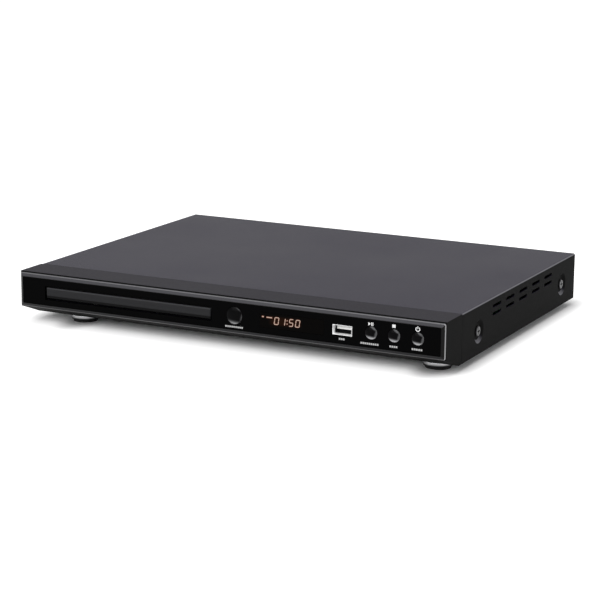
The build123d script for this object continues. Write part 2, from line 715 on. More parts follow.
# USB socket: folded metal shell with a flared mouth, and its tongue
mouth_width = USB_WIDTH - 2 * USB_GAP
mouth_height = USB_HEIGHT - 2 * USB_GAP
usb_mouth = front - FASCIA_THICK + USB_GAP
with BuildPart() as usb_shell:
    with BuildSketch(facing_front(board_y)):
        with Locations((usb_x, usb_z)):
            Rectangle(USB_PLUG_WIDTH + 2 * USB_SHEET, USB_PLUG_HEIGHT + 2 * USB_SHEET)
    extrude(amount=board_y - usb_mouth - USB_FLARE)
    with BuildSketch(facing_front(usb_mouth + USB_FLARE)):
        with Locations((usb_x, usb_z)):
            Rectangle(USB_PLUG_WIDTH + 2 * USB_SHEET, USB_PLUG_HEIGHT + 2 * USB_SHEET)
    with BuildSketch(facing_front(usb_mouth)):
        with Locations((usb_x, usb_z)):
            Rectangle(mouth_width, mouth_height)
    loft(ruled=True)
    with BuildSketch(facing_front(board_y - USB_SHEET)):
        with Locations((usb_x, usb_z)):
            Rectangle(USB_PLUG_WIDTH, USB_PLUG_HEIGHT)
    extrude(amount=board_y - USB_SHEET - usb_mouth - USB_FLARE, mode=Mode.SUBTRACT)
    with BuildSketch(facing_front(usb_mouth + USB_FLARE)):
        with Locations((usb_x, usb_z)):
            Rectangle(USB_PLUG_WIDTH, USB_PLUG_HEIGHT)
    with BuildSketch(facing_front(usb_mouth)):
        with Locations((usb_x, usb_z)):
            Rectangle(mouth_width - 2 * USB_SHEET, mouth_height - 2 * USB_SHEET)
    loft(ruled=True, mode=Mode.SUBTRACT)
usb_shell.part.label = "usb_shell"
export_step(usb_shell.part, "parts/usb_shell.step")

with BuildPart() as usb_tongue:
    with BuildSketch(facing_front(board_y - USB_SHEET)):
        with Locations((usb_x, usb_z + USB_PLUG_HEIGHT / 2 - TONGUE_DROP)):
            Rectangle(TONGUE_WIDTH, TONGUE_THICK)
    extrude(amount=TONGUE_LENGTH)
usb_tongue.part.label = "usb_tongue"
export_step(usb_tongue.part, "parts/usb_tongue.step")

# Remote sensor beside the readout, behind the fascia
with BuildPart() as remote_sensor:
    with BuildSketch(facing_front(board_y)):
        with Locations((sensor_x, window_z)):
            Rectangle(SENSOR_WIDTH, SENSOR_HEIGHT)
    extrude(amount=SENSOR_THICK)
    with Locations(Plane.XZ.offset(-(board_y - SENSOR_THICK)) * Pos(sensor_x, window_z)):
        Sphere(SENSOR_LENS)
remote_sensor.part.label = "remote_sensor"
export_step(remote_sensor.part, "parts/remote_sensor.step")

# Top cover: one folded sheet with vents, dished screw seats and a lip down the back
cover_start = front_reach + SEAM
side_seats = [(side, front + y) for side in (-1, 1) for y in SIDE_SCREWS]
with BuildPart() as top_cover:
    with BuildSketch(facing_front(back)):
        with Locations((0, (base_z + top_z) / 2)):
            cover_outline = Rectangle(WIDTH, BODY_HEIGHT)
        fillet(cover_outline.vertices().group_by(Axis.Y)[-1], COVER_BEND)
        with Locations((0, (base_z + top_z - SHEET) / 2)):
            cover_hollow = Rectangle(WIDTH - 2 * SHEET, BODY_HEIGHT - SHEET, mode=Mode.PRIVATE)
        add(cover_hollow, mode=Mode.SUBTRACT)
    extrude(amount=back - cover_start)
    with BuildSketch(facing_front(back)):
        with Locations((0, lip_mid - SHEET / 2)):
            Rectangle(WIDTH - 2 * SHEET, REAR_LIP - SHEET)
    extrude(amount=SHEET)
    for side, y in side_seats:
        with Locations(Plane(origin=(side * half, y, dish_z), z_dir=(-side, 0, 0))):
            Cone(
                DISH_RADIUS + SHEET,
                DISH_FLOOR + SHEET / 2,
                DISH_DEPTH + SHEET,
                align=(Align.CENTER, Align.CENTER, Align.MIN),
            )
    for side, y in side_seats:
        with Locations(Plane(origin=(side * half, y, dish_z), z_dir=(-side, 0, 0))):
            Cone(
                DISH_RADIUS,
                DISH_FLOOR,
                DISH_DEPTH,
                align=(Align.CENTER, Align.CENTER, Align.MIN),
                mode=Mode.SUBTRACT,
            )
            Cylinder(
                screw_hole,
                2 * (DISH_DEPTH + SHEET),
                align=(Align.CENTER, Align.CENTER, Align.MIN),
                mode=Mode.SUBTRACT,
            )
    with BuildSketch(facing_right(0)):
        with Locations((front + VENT_MIDDLE, top_z - VENT_DROP)):
            with GridLocations(VENT_PITCH, VENT_ROW_PITCH, VENT_COLUMNS, 2):
                SlotOverall(VENT_LENGTH, VENT_SLOT)
    extrude(amount=half, both=True, mode=Mode.SUBTRACT)
    with BuildSketch(facing_front(back)):
        with Locations(*[(x, lip_mid) for x in rear_screws]):
            Circle(screw_hole)
    extrude(amount=SHEET, mode=Mode.SUBTRACT)
top_cover.part.label = "top_cover"
export_step(top_cover.part, "parts/top_cover.step")

# Base pan: channel with folded edges, tabs for the side screws, and posts for what it carries
base_length = back - base_start
with BuildPart() as base_pan:
    with BuildSketch(facing_front(back)):
        with Locations((0, base_z + BASE_EDGE / 2)):
            Rectangle(2 * skin_half, BASE_EDGE)
        with Locations((0, floor_z + BASE_EDGE / 2)):
            Rectangle(2 * (skin_half - SHEET), BASE_EDGE, mode=Mode.SUBTRACT)
    extrude(amount=base_length)
    with BuildSketch(Plane.XY.offset(floor_z)):
        with Locations((0, base_start)):
            Rectangle(2 * skin_half, 2 * TONGUE)
    extrude(amount=BASE_EDGE, mode=Mode.SUBTRACT)
    for side, y in side_seats:
        with BuildSketch(facing_right(side * tab_face)):
            with Locations((y, (floor_z + dish_z + TAB_TOP) / 2)):
                Rectangle(TAB_WIDTH, dish_z + TAB_TOP - floor_z)
            with Locations((y, dish_z)):
                Circle(SCREW_RADIUS, mode=Mode.SUBTRACT)
        extrude(amount=-side * SHEET)
    with BuildSketch(Plane.XY.offset(floor_z)):
        with Locations(*main_corners, *power_corners):
            Circle(STANDOFF_RADIUS)
    extrude(amount=BOARD_LIFT)
    with BuildSketch(Plane.XY.offset(floor_z)):
        with Locations(*lug_places):
            Circle(LUG_RADIUS)
    extrude(amount=FRAME_LIFT)
    with BuildSketch(Plane.XY.offset(base_z)):
        with Locations(*main_corners, *power_corners, *lug_places):
            Circle(STANDOFF_BORE)
        with Locations(*hook_places, *foot_places, *rear_foot_places):
            Circle(screw_hole)
        with Locations((half - BASE_VENT_END, front + BASE_VENT_Y)):
            with GridLocations(BASE_VENT_PITCH, 0, BASE_VENTS, 1):
                SlotOverall(BASE_VENT_LENGTH, VENT_SLOT, rotation=90)
    extrude(amount=BOARD_LIFT + SHEET, mode=Mode.SUBTRACT)
base_pan.part.label = "base_pan"
export_step(base_pan.part, "parts/base_pan.step")

# Back panel: upright sheet with a folded foot, pierced for its sockets
with BuildPart() as rear_panel:
    with BuildSketch(facing_right(0)):
        with BuildLine():
            Polyline(
                (rear_face, floor_z),
                (rear_face, skin_top),
                (rear_face - SHEET, skin_top),
                (rear_face - SHEET, floor_z + SHEET),
                (rear_face - REAR_FOOT, floor_z + SHEET),
                (rear_face - REAR_FOOT, floor_z),
                close=True,
            )
        make_face()
    extrude(amount=skin_half - SHEET - COVER_GAP, both=True)
    with BuildSketch(facing_front(rear_face)):
        with Locations(*jack_places):
            Circle(JACK_RADIUS + JACK_ROOM)
        with Locations((hdmi_x, hdmi_z)):
            Rectangle(HDMI_WIDTH + 2 * SOCKET_GAP, HDMI_HEIGHT + 2 * SOCKET_GAP)
        with Locations((inlet_x, inlet_z)):
            Rectangle(INLET_WIDTH + 2 * SOCKET_GAP, INLET_HEIGHT + 2 * SOCKET_GAP)
        with Locations(*[(x, lip_mid) for x in rear_screws]):
            Circle(SCREW_RADIUS)
        with Locations((REAR_VENT_END - half, base_z + REAR_VENT_MID)):
            with GridLocations(REAR_VENT_PITCH, 0, REAR_VENTS, 1):
                SlotOverall(REAR_VENT_LENGTH, VENT_SLOT, rotation=90)
    extrude(amount=SHEET, mode=Mode.SUBTRACT)
    with BuildSketch(Plane.XY.offset(floor_z)):
        with Locations(*rear_foot_places):
            Circle(SCREW_RADIUS)
        with Locations(*main_corners, *power_corners):
            Circle(STANDOFF_RADIUS + SOCKET_GAP)
    extrude(amount=SHEET, mode=Mode.SUBTRACT)
rear_panel.part.label = "rear_panel"
export_step(rear_panel.part, "parts/rear_panel.step")

# Feet: spun silver cup with a rubber pad let into it
cup_height = FOOT_HEIGHT - PAD_PROUD
for (x, y), name in zip(foot_places, FOOT_NAMES):
    with BuildPart() as foot_cup:
        with Locations((x, y, PAD_PROUD)):
            Cylinder(FOOT_RADIUS, cup_height, align=(Align.CENTER, Align.CENTER, Align.MIN))
            Cylinder(
                PAD_RADIUS,
                PAD_THICK - PAD_PROUD,
                align=(Align.CENTER, Align.CENTER, Align.MIN),
                mode=Mode.SUBTRACT,
            )
        fillet(foot_cup.edges().filter_by(GeomType.CIRCLE).group_by(SortBy.RADIUS)[-1], FOOT_ROUND)
        with Locations((x, y, base_z)):
            Cylinder(
                SCREW_RADIUS,
                FOOT_BORE,
                align=(Align.CENTER, Align.CENTER, Align.MAX),
                mode=Mode.SUBTRACT,
            )
    foot_cup.part.label = f"foot_cup_{name}"
    export_step(foot_cup.part, f"parts/foot_cup_{name}.step")

with BuildPart() as foot_pads:
    with Locations(*[(x, y, 0) for x, y in foot_places]):
        Cylinder(PAD_RADIUS, PAD_THICK, align=(Align.CENTER, Align.CENTER, Align.MIN))
foot_pads.part.label = "foot_pads"
export_step(foot_pads.part, "parts/foot_pads.step")

# Tray door: plate with a worked top edge, standing on the front of the tray
with BuildPart() as tray_door:
    with Locations((door_x, tray_front, door_z)):
        Box(DOOR_WIDTH, DOOR_THICK, DOOR_HEIGHT, align=(Align.CENTER, Align.MAX, Align.CENTER))
    chamfer(tray_door.edges().group_by(Axis.Y)[0].filter_by(Axis.X), DOOR_CHAMFER)
    chamfer(tray_door.edges().group_by(Axis.Y)[0].filter_by(Axis.Z), DOOR_CHAMFER)
tray_door.part.label = "tray_door"
export_step(tray_door.part, "parts/tray_door.step")


def rack_outline(teeth, module, pitch_x, mesh_y, start_y, back_x):
    """Rack along Y with teeth to the right; a gap of it lies at mesh_y."""
    pitch = math.pi * module
    tip = pitch / 4 - BACKLASH / 2 - module * math.tan(PRESSURE)
    root = pitch / 4 - BACKLASH / 2 + ROOT * module * math.tan(PRESSURE)
    first = mesh_y + pitch * (math.ceil((start_y - mesh_y) / pitch) + 0.5)
    points = [(back_x, first - pitch)]
    for tooth in range(teeth):
        middle = first + tooth * pitch
        points += [
            (pitch_x - ROOT * module, middle - root),
            (pitch_x + module, middle - tip),
            (pitch_x + module, middle + tip),
            (pitch_x - ROOT * module, middle + root),
        ]
    return points + [(back_x, first + teeth * pitch - pitch / 2)]


def gear_outline(teeth, module, turn):
    """Spur gear on the origin with involute flanks; one tooth points at the angle turn."""
    pitch_radius = module * teeth / 2
    base_radius = pitch_radius * math.cos(PRESSURE)
    root_radius = pitch_radius - ROOT * module
    tip_radius = pitch_radius + module
    half_pitch = math.pi / (2 * teeth) - BACKLASH / (2 * pitch_radius)

    def flank(radius):
        roll = math.acos(min(1, base_radius / radius))
        return half_pitch + (math.tan(PRESSURE) - PRESSURE) - (math.tan(roll) - roll)

    points = []
    for tooth in range(teeth):
        middle = turn + 2 * math.pi * tooth / teeth
        steps = (root_radius, pitch_radius, tip_radius)
        points += [(r * math.cos(middle - flank(r)), r * math.sin(middle - flank(r))) for r in steps]
        points += [(r * math.cos(middle + flank(r)), r * math.sin(middle + flank(r))) for r in steps[::-1]]
    return points


# Disc tray: shallow dish for two disc sizes, open slot to the rear, skirts and a rack beneath
with BuildPart() as disc_tray:
    with Locations((door_x, tray_front, tray_low)):
        Box(
            TRAY_WIDTH,
            tray_back - tray_front,
            tray_top - tray_low,
            align=(Align.CENTER, Align.MIN, Align.MIN),
        )
    with Locations((door_x, tray_front + TRAY_SKIRT, tray_low)):
        Box(
            TRAY_WIDTH - 2 * TRAY_SKIRT,
            tray_back - tray_front,
            tray_under - tray_low,
            align=(Align.CENTER, Align.MIN, Align.MIN),
            mode=Mode.SUBTRACT,
        )
    with BuildSketch(Plane.XY.offset(tray_low)):
        with BuildLine():
            Polyline(
                *rack_outline(
                    rack_teeth, RACK_MODULE, rack_x, drive_y, rack_start, door_x - tray_half
                ),
                close=True,
            )
        make_face()
    extrude(amount=tray_under - tray_low)
    with BuildSketch(Plane.XY.offset(tray_low)):
        with Locations((door_x, disc_y)):
            Circle(TRAY_SLOT / 2 + TRAY_SKIRT / 2)
        with Locations((door_x, (disc_y + tray_back) / 2)):
            Rectangle(TRAY_SLOT + TRAY_SKIRT, tray_back - disc_y)
    extrude(amount=tray_under - tray_low)
    with Locations((door_x, disc_y, tray_top)):
        Cylinder(
            DISC_POCKET,
            POCKET_DEPTH,
            align=(Align.CENTER, Align.CENTER, Align.MAX),
            mode=Mode.SUBTRACT,
        )
        Cylinder(
            SMALL_POCKET,
            POCKET_DEPTH + SMALL_POCKET_DEPTH,
            align=(Align.CENTER, Align.CENTER, Align.MAX),
            mode=Mode.SUBTRACT,
        )
    with Locations((door_x, disc_y - DISC_POCKET, tray_top)):
        Cylinder(
            FINGER_RADIUS,
            POCKET_DEPTH,
            align=(Align.CENTER, Align.CENTER, Align.MAX),
            mode=Mode.SUBTRACT,
        )
    with BuildSketch(Plane.XY.offset(tray_low)):
        with Locations((door_x, disc_y)):
            Circle(TRAY_SLOT / 2)
        with Locations((door_x, (disc_y + tray_back) / 2 + TRAY_SKIRT)):
            Rectangle(TRAY_SLOT, tray_back - disc_y + 2 * TRAY_SKIRT)
    extrude(amount=tray_top - tray_low, mode=Mode.SUBTRACT)
disc_tray.part.label = "disc_tray"
export_step(disc_tray.part, "parts/disc_tray.step")

# Drive gear: small gear in the rack above a big one that the pulley gear turns
with BuildPart() as drive_gear:
    with BuildSketch(Plane((drive_x, drive_y, wheel_z))):
        with BuildLine():
            Polyline(*gear_outline(WHEEL_TEETH, WHEEL_MODULE, bearing), close=True)
        make_face()
    extrude(amount=GEAR_FACE)
    with Locations((drive_x, drive_y, wheel_z + GEAR_FACE)):
        Cylinder(
            drive_radius - RACK_MODULE * 2,
            tray_low - wheel_z - GEAR_FACE,
            align=(Align.CENTER, Align.CENTER, Align.MIN),
        )
    with BuildSketch(Plane((drive_x, drive_y, tray_low))):
        with BuildLine():
            Polyline(*gear_outline(DRIVE_TEETH, RACK_MODULE, math.pi), close=True)
        make_face()
    extrude(amount=drive_top - tray_low)
    with Locations((drive_x, drive_y, wheel_z)):
        Cylinder(
            axle_hole,
            drive_top - wheel_z,
            align=(Align.CENTER, Align.CENTER, Align.MIN),
            mode=Mode.SUBTRACT,
        )
drive_gear.part.label = "drive_gear"
export_step(drive_gear.part, "parts/drive_gear.step")

# Pulley gear: pinion below a grooved pulley
pulley_low = belt_z - PULLEY_FACE / 2
groove_half = BELT / 2 + BELT_GAP
with BuildPart() as pulley_gear:
    with BuildSketch(Plane((pulley_x, pulley_y, wheel_z))):
        with BuildLine():
            Polyline(
                *gear_outline(PINION_TEETH, WHEEL_MODULE, bearing + math.pi + math.pi / PINION_TEETH),
                close=True,
            )
        make_face()
    extrude(amount=pulley_low - wheel_z)
    with BuildSketch(Plane((pulley_x, pulley_y, 0), x_dir=(1, 0, 0), z_dir=(0, -1, 0))):
        with BuildLine():
            Polyline(
                (0, pulley_low),
                (PULLEY_RADIUS + BELT / 2, pulley_low),
                (PULLEY_RADIUS + BELT / 2, belt_z - groove_half),
                (PULLEY_RADIUS - BELT / 2 - BELT_GAP, belt_z - groove_half),
                (PULLEY_RADIUS - BELT / 2 - BELT_GAP, belt_z + groove_half),
                (PULLEY_RADIUS + BELT / 2, belt_z + groove_half),
                (PULLEY_RADIUS + BELT / 2, pulley_low + PULLEY_FACE),
                (0, pulley_low + PULLEY_FACE),
                close=True,
            )
        make_face()
    revolve(axis=Axis((pulley_x, pulley_y, 0), (0, 0, 1)))
    with Locations((pulley_x, pulley_y, wheel_z)):
        Cylinder(
            axle_hole,
            pulley_low + PULLEY_FACE - wheel_z,
            align=(Align.CENTER, Align.CENTER, Align.MIN),
            mode=Mode.SUBTRACT,
        )
pulley_gear.part.label = "pulley_gear"
export_step(pulley_gear.part, "parts/pulley_gear.step")

# Loading motor: flat-sided can under its bridge, with a stub shaft that carries its pulley
motor_low = frame_under
motor_top = pulley_low - MOTOR_BRIDGE - BELT_LIFT / 2
with BuildPart() as loading_motor:
    with BuildSketch(Plane.XY.offset(motor_low)):
        with Locations((motor_x, motor_y)):
            Circle(MOTOR_RADIUS)
            Rectangle(2 * MOTOR_RADIUS, 2 * MOTOR_FLAT, mode=Mode.INTERSECT)
    extrude(amount=motor_top - motor_low)
loading_motor.part.label = "loading_motor"
export_step(loading_motor.part, "parts/loading_motor.step")

with BuildPart() as motor_pulley:
    with BuildSketch(Plane((motor_x, motor_y, 0), x_dir=(1, 0, 0), z_dir=(0, -1, 0))):
        with BuildLine():
            Polyline(
                (0, motor_top + SHAFT_AIR),
                (SHAFT_RADIUS, motor_top + SHAFT_AIR),
                (SHAFT_RADIUS, pulley_low),
                (MOTOR_PULLEY_RADIUS + BELT / 2, pulley_low),
                (MOTOR_PULLEY_RADIUS + BELT / 2, belt_z - groove_half),
                (MOTOR_PULLEY_RADIUS - BELT / 2 - BELT_GAP, belt_z - groove_half),
                (MOTOR_PULLEY_RADIUS - BELT / 2 - BELT_GAP, belt_z + groove_half),
                (MOTOR_PULLEY_RADIUS + BELT / 2, belt_z + groove_half),
                (MOTOR_PULLEY_RADIUS + BELT / 2, pulley_low + PULLEY_FACE),
                (0, pulley_low + PULLEY_FACE),
                close=True,
            )
        make_face()
    revolve(axis=Axis((motor_x, motor_y, 0), (0, 0, 1)))
motor_pulley.part.label = "motor_pulley"
export_step(motor_pulley.part, "parts/motor_pulley.step")

# Belt round both pulleys
with BuildPart() as loading_belt:
    for grow, mode in ((BELT / 2, Mode.ADD), (-BELT / 2, Mode.SUBTRACT)):
        with BuildSketch(Plane.XY.offset(belt_z - BELT / 2)):
            with Locations((pulley_x, pulley_y)):
                wheel_ring = Circle(PULLEY_RADIUS + grow)
            with Locations((motor_x, motor_y)):
                motor_ring = Circle(MOTOR_PULLEY_RADIUS + grow)
            make_hull()
        extrude(amount=BELT, mode=mode)
loading_belt.part.label = "loading_belt"
export_step(loading_belt.part, "parts/loading_belt.step")

# Loader frame: floor with a well for the deck, side walls with guides, axles and posts
frame_length = loader_back - loader_front
frame_middle = (loader_front + loader_back) / 2
ear_inner = DECK_HALF + EAR_AIR
with BuildPart() as loader_frame:
    with BuildSketch(Plane.XY.offset(frame_under)):
        with Locations((door_x, frame_middle)):
            Rectangle(2 * wall_out, frame_length)
        with Locations((door_x, front + (WELL_FRONT + WELL_BACK) / 2)):
            Rectangle(2 * WELL_HALF, WELL_BACK - WELL_FRONT, mode=Mode.SUBTRACT)
        with Locations((motor_x, motor_y)):
            Circle(MOTOR_RADIUS + BUTTON_GAP, mode=Mode.SUBTRACT)
    extrude(amount=FRAME_FLOOR)
    for side in (-1, 1):
        with BuildSketch(facing_front(loader_back)):
            with BuildLine():
                Polyline(
                    (door_x + side * wall_out, frame_under),
                    (door_x + side * wall_out, wall_top),
                    (door_x + side * wall_in, wall_top),
                    (door_x + side * wall_in, tray_low - GUIDE_PLAY),
                    (door_x + side * (wall_in - LEDGE), tray_low - GUIDE_PLAY),
                    (door_x + side * (wall_in - LEDGE), tray_low - GUIDE_PLAY - GUIDE_TAB),
                    (door_x + side * wall_in, tray_low - GUIDE_PLAY - GUIDE_TAB),
                    (door_x + side * wall_in, frame_under),
                    close=True,
                )
            make_face()
        extrude(amount=frame_length)
    with BuildSketch(Plane.XY.offset(tray_top + GUIDE_PLAY)):
        for side in (-1, 1):
            with Locations((door_x + side * (wall_in - LEDGE / 4), frame_middle)):
                with GridLocations(0, TAB_PITCH, 1, 4):
                    Rectangle(LEDGE / 2, TAB_WIDTH)
    extrude(amount=GUIDE_TAB)
    cross_walls = (
        (loader_back, CROSS_RISE),
        (loader_front + CROSS_WALL, wheel_z - EAR_AIR - frame_under),
    )
    for y, rise in cross_walls:
        with Locations((door_x, y, frame_under)):
            Box(2 * wall_in, CROSS_WALL, rise, align=(Align.CENTER, Align.MAX, Align.MIN))
    with BuildSketch(Plane.XY.offset(frame_under)):
        with Locations(*lug_places):
            Circle(LUG_RADIUS)
            Circle(screw_hole, mode=Mode.SUBTRACT)
        for side in (-1, 1):
            with Locations(*[(x, y) for x, y in lug_places if (x > door_x) == (side > 0)]):
                with Locations((-side * LUG_REACH / 2 - side * LUG_RADIUS / 4, 0)):
                    Rectangle(LUG_REACH / 2, 2 * LUG_RADIUS)
    extrude(amount=LUG_THICK)
    with BuildSketch(Plane.XY.offset(frame_under)):
        with Locations((drive_x, drive_y), (pulley_x, pulley_y)):
            Circle(AXLE_RADIUS)
    extrude(amount=pulley_low + PULLEY_FACE - frame_under)
    with BuildSketch(Plane.XY.offset(frame_under)):
        with Locations((drive_x, drive_y), (pulley_x, pulley_y)):
            Circle(2 * AXLE_RADIUS)
    extrude(amount=wheel_z - GUIDE_PLAY - frame_under)
    with BuildSketch(facing_right(door_x)):
        with Locations((pivot_y, (frame_floor + pivot_z) / 2)):
            Rectangle(2 * PIVOT_EAR, pivot_z - frame_floor)
        with Locations((pivot_y, pivot_z)):
            Circle(PIVOT_EAR)
            Circle(PIVOT_RADIUS + AXLE_PLAY, mode=Mode.SUBTRACT)
    extrude(amount=ear_inner + PIVOT_EAR, both=True)
    with BuildSketch(Plane.XY.offset(frame_floor)):
        with Locations((door_x, pivot_y)):
            Rectangle(2 * ear_inner, 4 * PIVOT_EAR)
    extrude(amount=tray_low - frame_floor, mode=Mode.SUBTRACT)
    with BuildSketch(Plane.XY.offset(motor_top)):
        with Locations((motor_x, motor_y)):
            Rectangle(2 * MOTOR_RADIUS + 2 * BRIDGE_LEG, 2 * MOTOR_FLAT)
            Circle(SHAFT_RADIUS + SHAFT_AIR, mode=Mode.SUBTRACT)
    extrude(amount=MOTOR_BRIDGE)
    with BuildSketch(Plane.XY.offset(frame_floor)):
        with Locations((motor_x, motor_y)):
            with GridLocations(2 * MOTOR_RADIUS + BRIDGE_LEG + BUTTON_GAP, 0, 2, 1):
                Rectangle(BRIDGE_LEG - BUTTON_GAP, 2 * MOTOR_FLAT)
    extrude(amount=motor_top - frame_floor)
    with BuildSketch(Plane.XY.offset(frame_floor)):
        with Locations((door_x + CAM_MIDDLE, cam_y + CAM_THICK / 2)):
            with GridLocations(0, CAM_THICK + RIB + 2 * CAM_PLAY, 1, 2):
                Rectangle(CAM_WIDTH + 2 * CAM_TRAVEL, RIB)
    extrude(amount=RAIL_SHARE * (wheel_z - frame_floor))
    with BuildSketch(Plane.XY.offset(wall_top)):
        for side in (-1, 1):
            with Locations((door_x + side * (wall_out - FRAME_WALL / 2), disc_y)):
                Rectangle(FRAME_WALL, BRIDGE_WIDTH)
    extrude(amount=bridge_z - wall_top)
    with BuildSketch(Plane.XY.offset(bridge_z)):
        with Locations(*bridge_screws):
            Circle(PILOT_RADIUS)
    extrude(amount=-SCREW_LENGTH, mode=Mode.SUBTRACT)
loader_frame.part.label = "loader_frame"
export_step(loader_frame.part, "parts/loader_frame.step")

# Cam slide: upright plate whose two sloping slots raise and lower the deck's front pins
cam_top = pivot_z + CAM_PIN_RADIUS + CAM_PLAY + CAM_THICK
slot_radius = CAM_PIN_RADIUS + CAM_PLAY
with BuildPart() as cam_slide:
    with BuildSketch(facing_front(cam_y + CAM_THICK)):
        with Locations((door_x + CAM_MIDDLE, (frame_floor + cam_top) / 2)):
            cam_plate = Rectangle(CAM_WIDTH, cam_top - frame_floor)
        fillet(cam_plate.vertices(), CAM_THICK)
    extrude(amount=CAM_THICK)
    for pin in CAM_PINS:
        with BuildSketch(facing_front(cam_y + CAM_THICK)):
            with Locations((door_x + pin - CAM_TRAVEL / 2, pivot_z - pin_drop / 2)):
                SlotCenterToCenter(
                    math.hypot(CAM_TRAVEL, pin_drop),
                    2 * slot_radius,
                    rotation=math.degrees(math.atan2(pin_drop, CAM_TRAVEL)),
                )
        extrude(amount=CAM_THICK, mode=Mode.SUBTRACT)
cam_slide.part.label = "cam_slide"
export_step(cam_slide.part, "parts/cam_slide.step")

# Traverse deck: pressed plate with a window, rod blocks, pivots at the back and pins at the front
with BuildPart() as traverse_deck:
    with BuildSketch(Plane.XY.offset(deck_z)):
        with Locations((door_x, front + (DECK_FRONT + DECK_BACK) / 2)):
            deck_outline = Rectangle(2 * DECK_HALF, DECK_BACK - DECK_FRONT)
        fillet(deck_outline.vertices(), DECK_CORNER)
        with Locations((door_x, (window_front + window_back) / 2)):
            Rectangle(2 * WINDOW_HALF, window_back - window_front, mode=Mode.SUBTRACT)
        with Locations((door_x, disc_y)):
            Circle(SPINDLE_HOLE, mode=Mode.SUBTRACT)
        with Locations((drive_x, drive_y)):
            Circle(wheel_radius + WHEEL_MODULE + 2 * EAR_AIR, mode=Mode.SUBTRACT)
        with Locations((door_x + SCREW_SIDE, sled_motor_y + SLED_MOTOR_LENGTH / 2)):
            Rectangle(
                2 * SLED_MOTOR_RADIUS + 2 * EAR_AIR, SLED_MOTOR_LENGTH + 2 * EAR_AIR, mode=Mode.SUBTRACT
            )
    extrude(amount=DECK_THICK)
    with BuildSketch(Plane.XY.offset(deck_z)):
        for side in (-1, 1):
            with Locations(
                (door_x + side * ROD_HALF, rod_front + ROD_BLOCK / 2),
                (door_x + side * ROD_HALF, rod_back - ROD_BLOCK / 2),
            ):
                Rectangle(4 * ROD_RADIUS, ROD_BLOCK)
    extrude(amount=-(ROD_DROP + 2 * ROD_RADIUS))
    with BuildSketch(facing_front(rod_front)):
        with Locations((door_x - ROD_HALF, rod_z), (door_x + ROD_HALF, rod_z)):
            Circle(ROD_RADIUS)
    extrude(amount=-(rod_back - rod_front), mode=Mode.SUBTRACT)
    with BuildSketch(facing_right(door_x)):
        with Locations((pivot_y, pivot_z)):
            Circle(PIVOT_RADIUS)
    extrude(amount=ear_inner + PIVOT_EAR, both=True)
    with BuildSketch(facing_front(front + DECK_FRONT)):
        with Locations(*[(door_x + pin, pivot_z) for pin in CAM_PINS]):
            Circle(CAM_PIN_RADIUS)
    extrude(amount=front + DECK_FRONT - cam_y + CAM_THICK / 2)
    with BuildSketch(facing_front(front + DECK_FRONT)):
        with Locations(*[(door_x + pin, pivot_z) for pin in CAM_PINS]):
            Circle(CAM_PIN_RADIUS)
    extrude(amount=-DECK_CORNER)
traverse_deck.part.label = "traverse_deck"
export_step(traverse_deck.part, "parts/traverse_deck.step")

# Guide rods in their blocks
for name, side in (("guide_rod_left", -1), ("guide_rod_right", 1)):
    with BuildPart() as guide_rod:
        with BuildSketch(facing_front(rod_front)):
            with Locations((door_x + side * ROD_HALF, rod_z)):
                Circle(ROD_RADIUS)
        extrude(amount=-(rod_back - rod_front))
    guide_rod.part.label = name
    export_step(guide_rod.part, f"parts/{name}.step")

# Spindle motor under the deck and the turntable on its shaft
motor_depth = deck_z - SPINDLE_DEPTH
with BuildPart() as spindle_motor:
    with Locations((door_x, disc_y, motor_depth)):
        Cylinder(SPINDLE_RADIUS, SPINDLE_DEPTH, align=(Align.CENTER, Align.CENTER, Align.MIN))
    fillet(spindle_motor.edges().filter_by(GeomType.CIRCLE).sort_by(Axis.Z)[0], SHAFT_RADIUS)
    with Locations((door_x, disc_y, motor_depth + SHAFT_RADIUS)):
        Cylinder(
            SHAFT_RADIUS + AXLE_PLAY,
            SPINDLE_DEPTH,
            align=(Align.CENTER, Align.CENTER, Align.MIN),
            mode=Mode.SUBTRACT,
        )
spindle_motor.part.label = "spindle_motor"
export_step(spindle_motor.part, "parts/spindle_motor.step")

with BuildPart() as turntable:
    with BuildSketch(Plane((door_x, disc_y, 0), x_dir=(1, 0, 0), z_dir=(0, -1, 0))):
        with BuildLine():
            Polyline(
                (0, motor_depth + SHAFT_RADIUS + SHAFT_AIR),
                (SHAFT_RADIUS, motor_depth + SHAFT_RADIUS + SHAFT_AIR),
                (SHAFT_RADIUS, deck_top + TABLE_AIR),
                (TABLE_BOSS, deck_top + TABLE_AIR),
                (TABLE_BOSS, seat_z - TABLE_THICK),
                (TABLE_RADIUS, seat_z - TABLE_THICK),
                (TABLE_RADIUS, seat_z),
                (HUB_RADIUS, seat_z),
                (HUB_RADIUS - HUB_SLOPE, hub_top),
                (0, hub_top),
                close=True,
            )
        make_face()
    revolve(axis=Axis((door_x, disc_y, 0), (0, 0, 1)))
turntable.part.label = "turntable"
export_step(turntable.part, "parts/turntable.step")

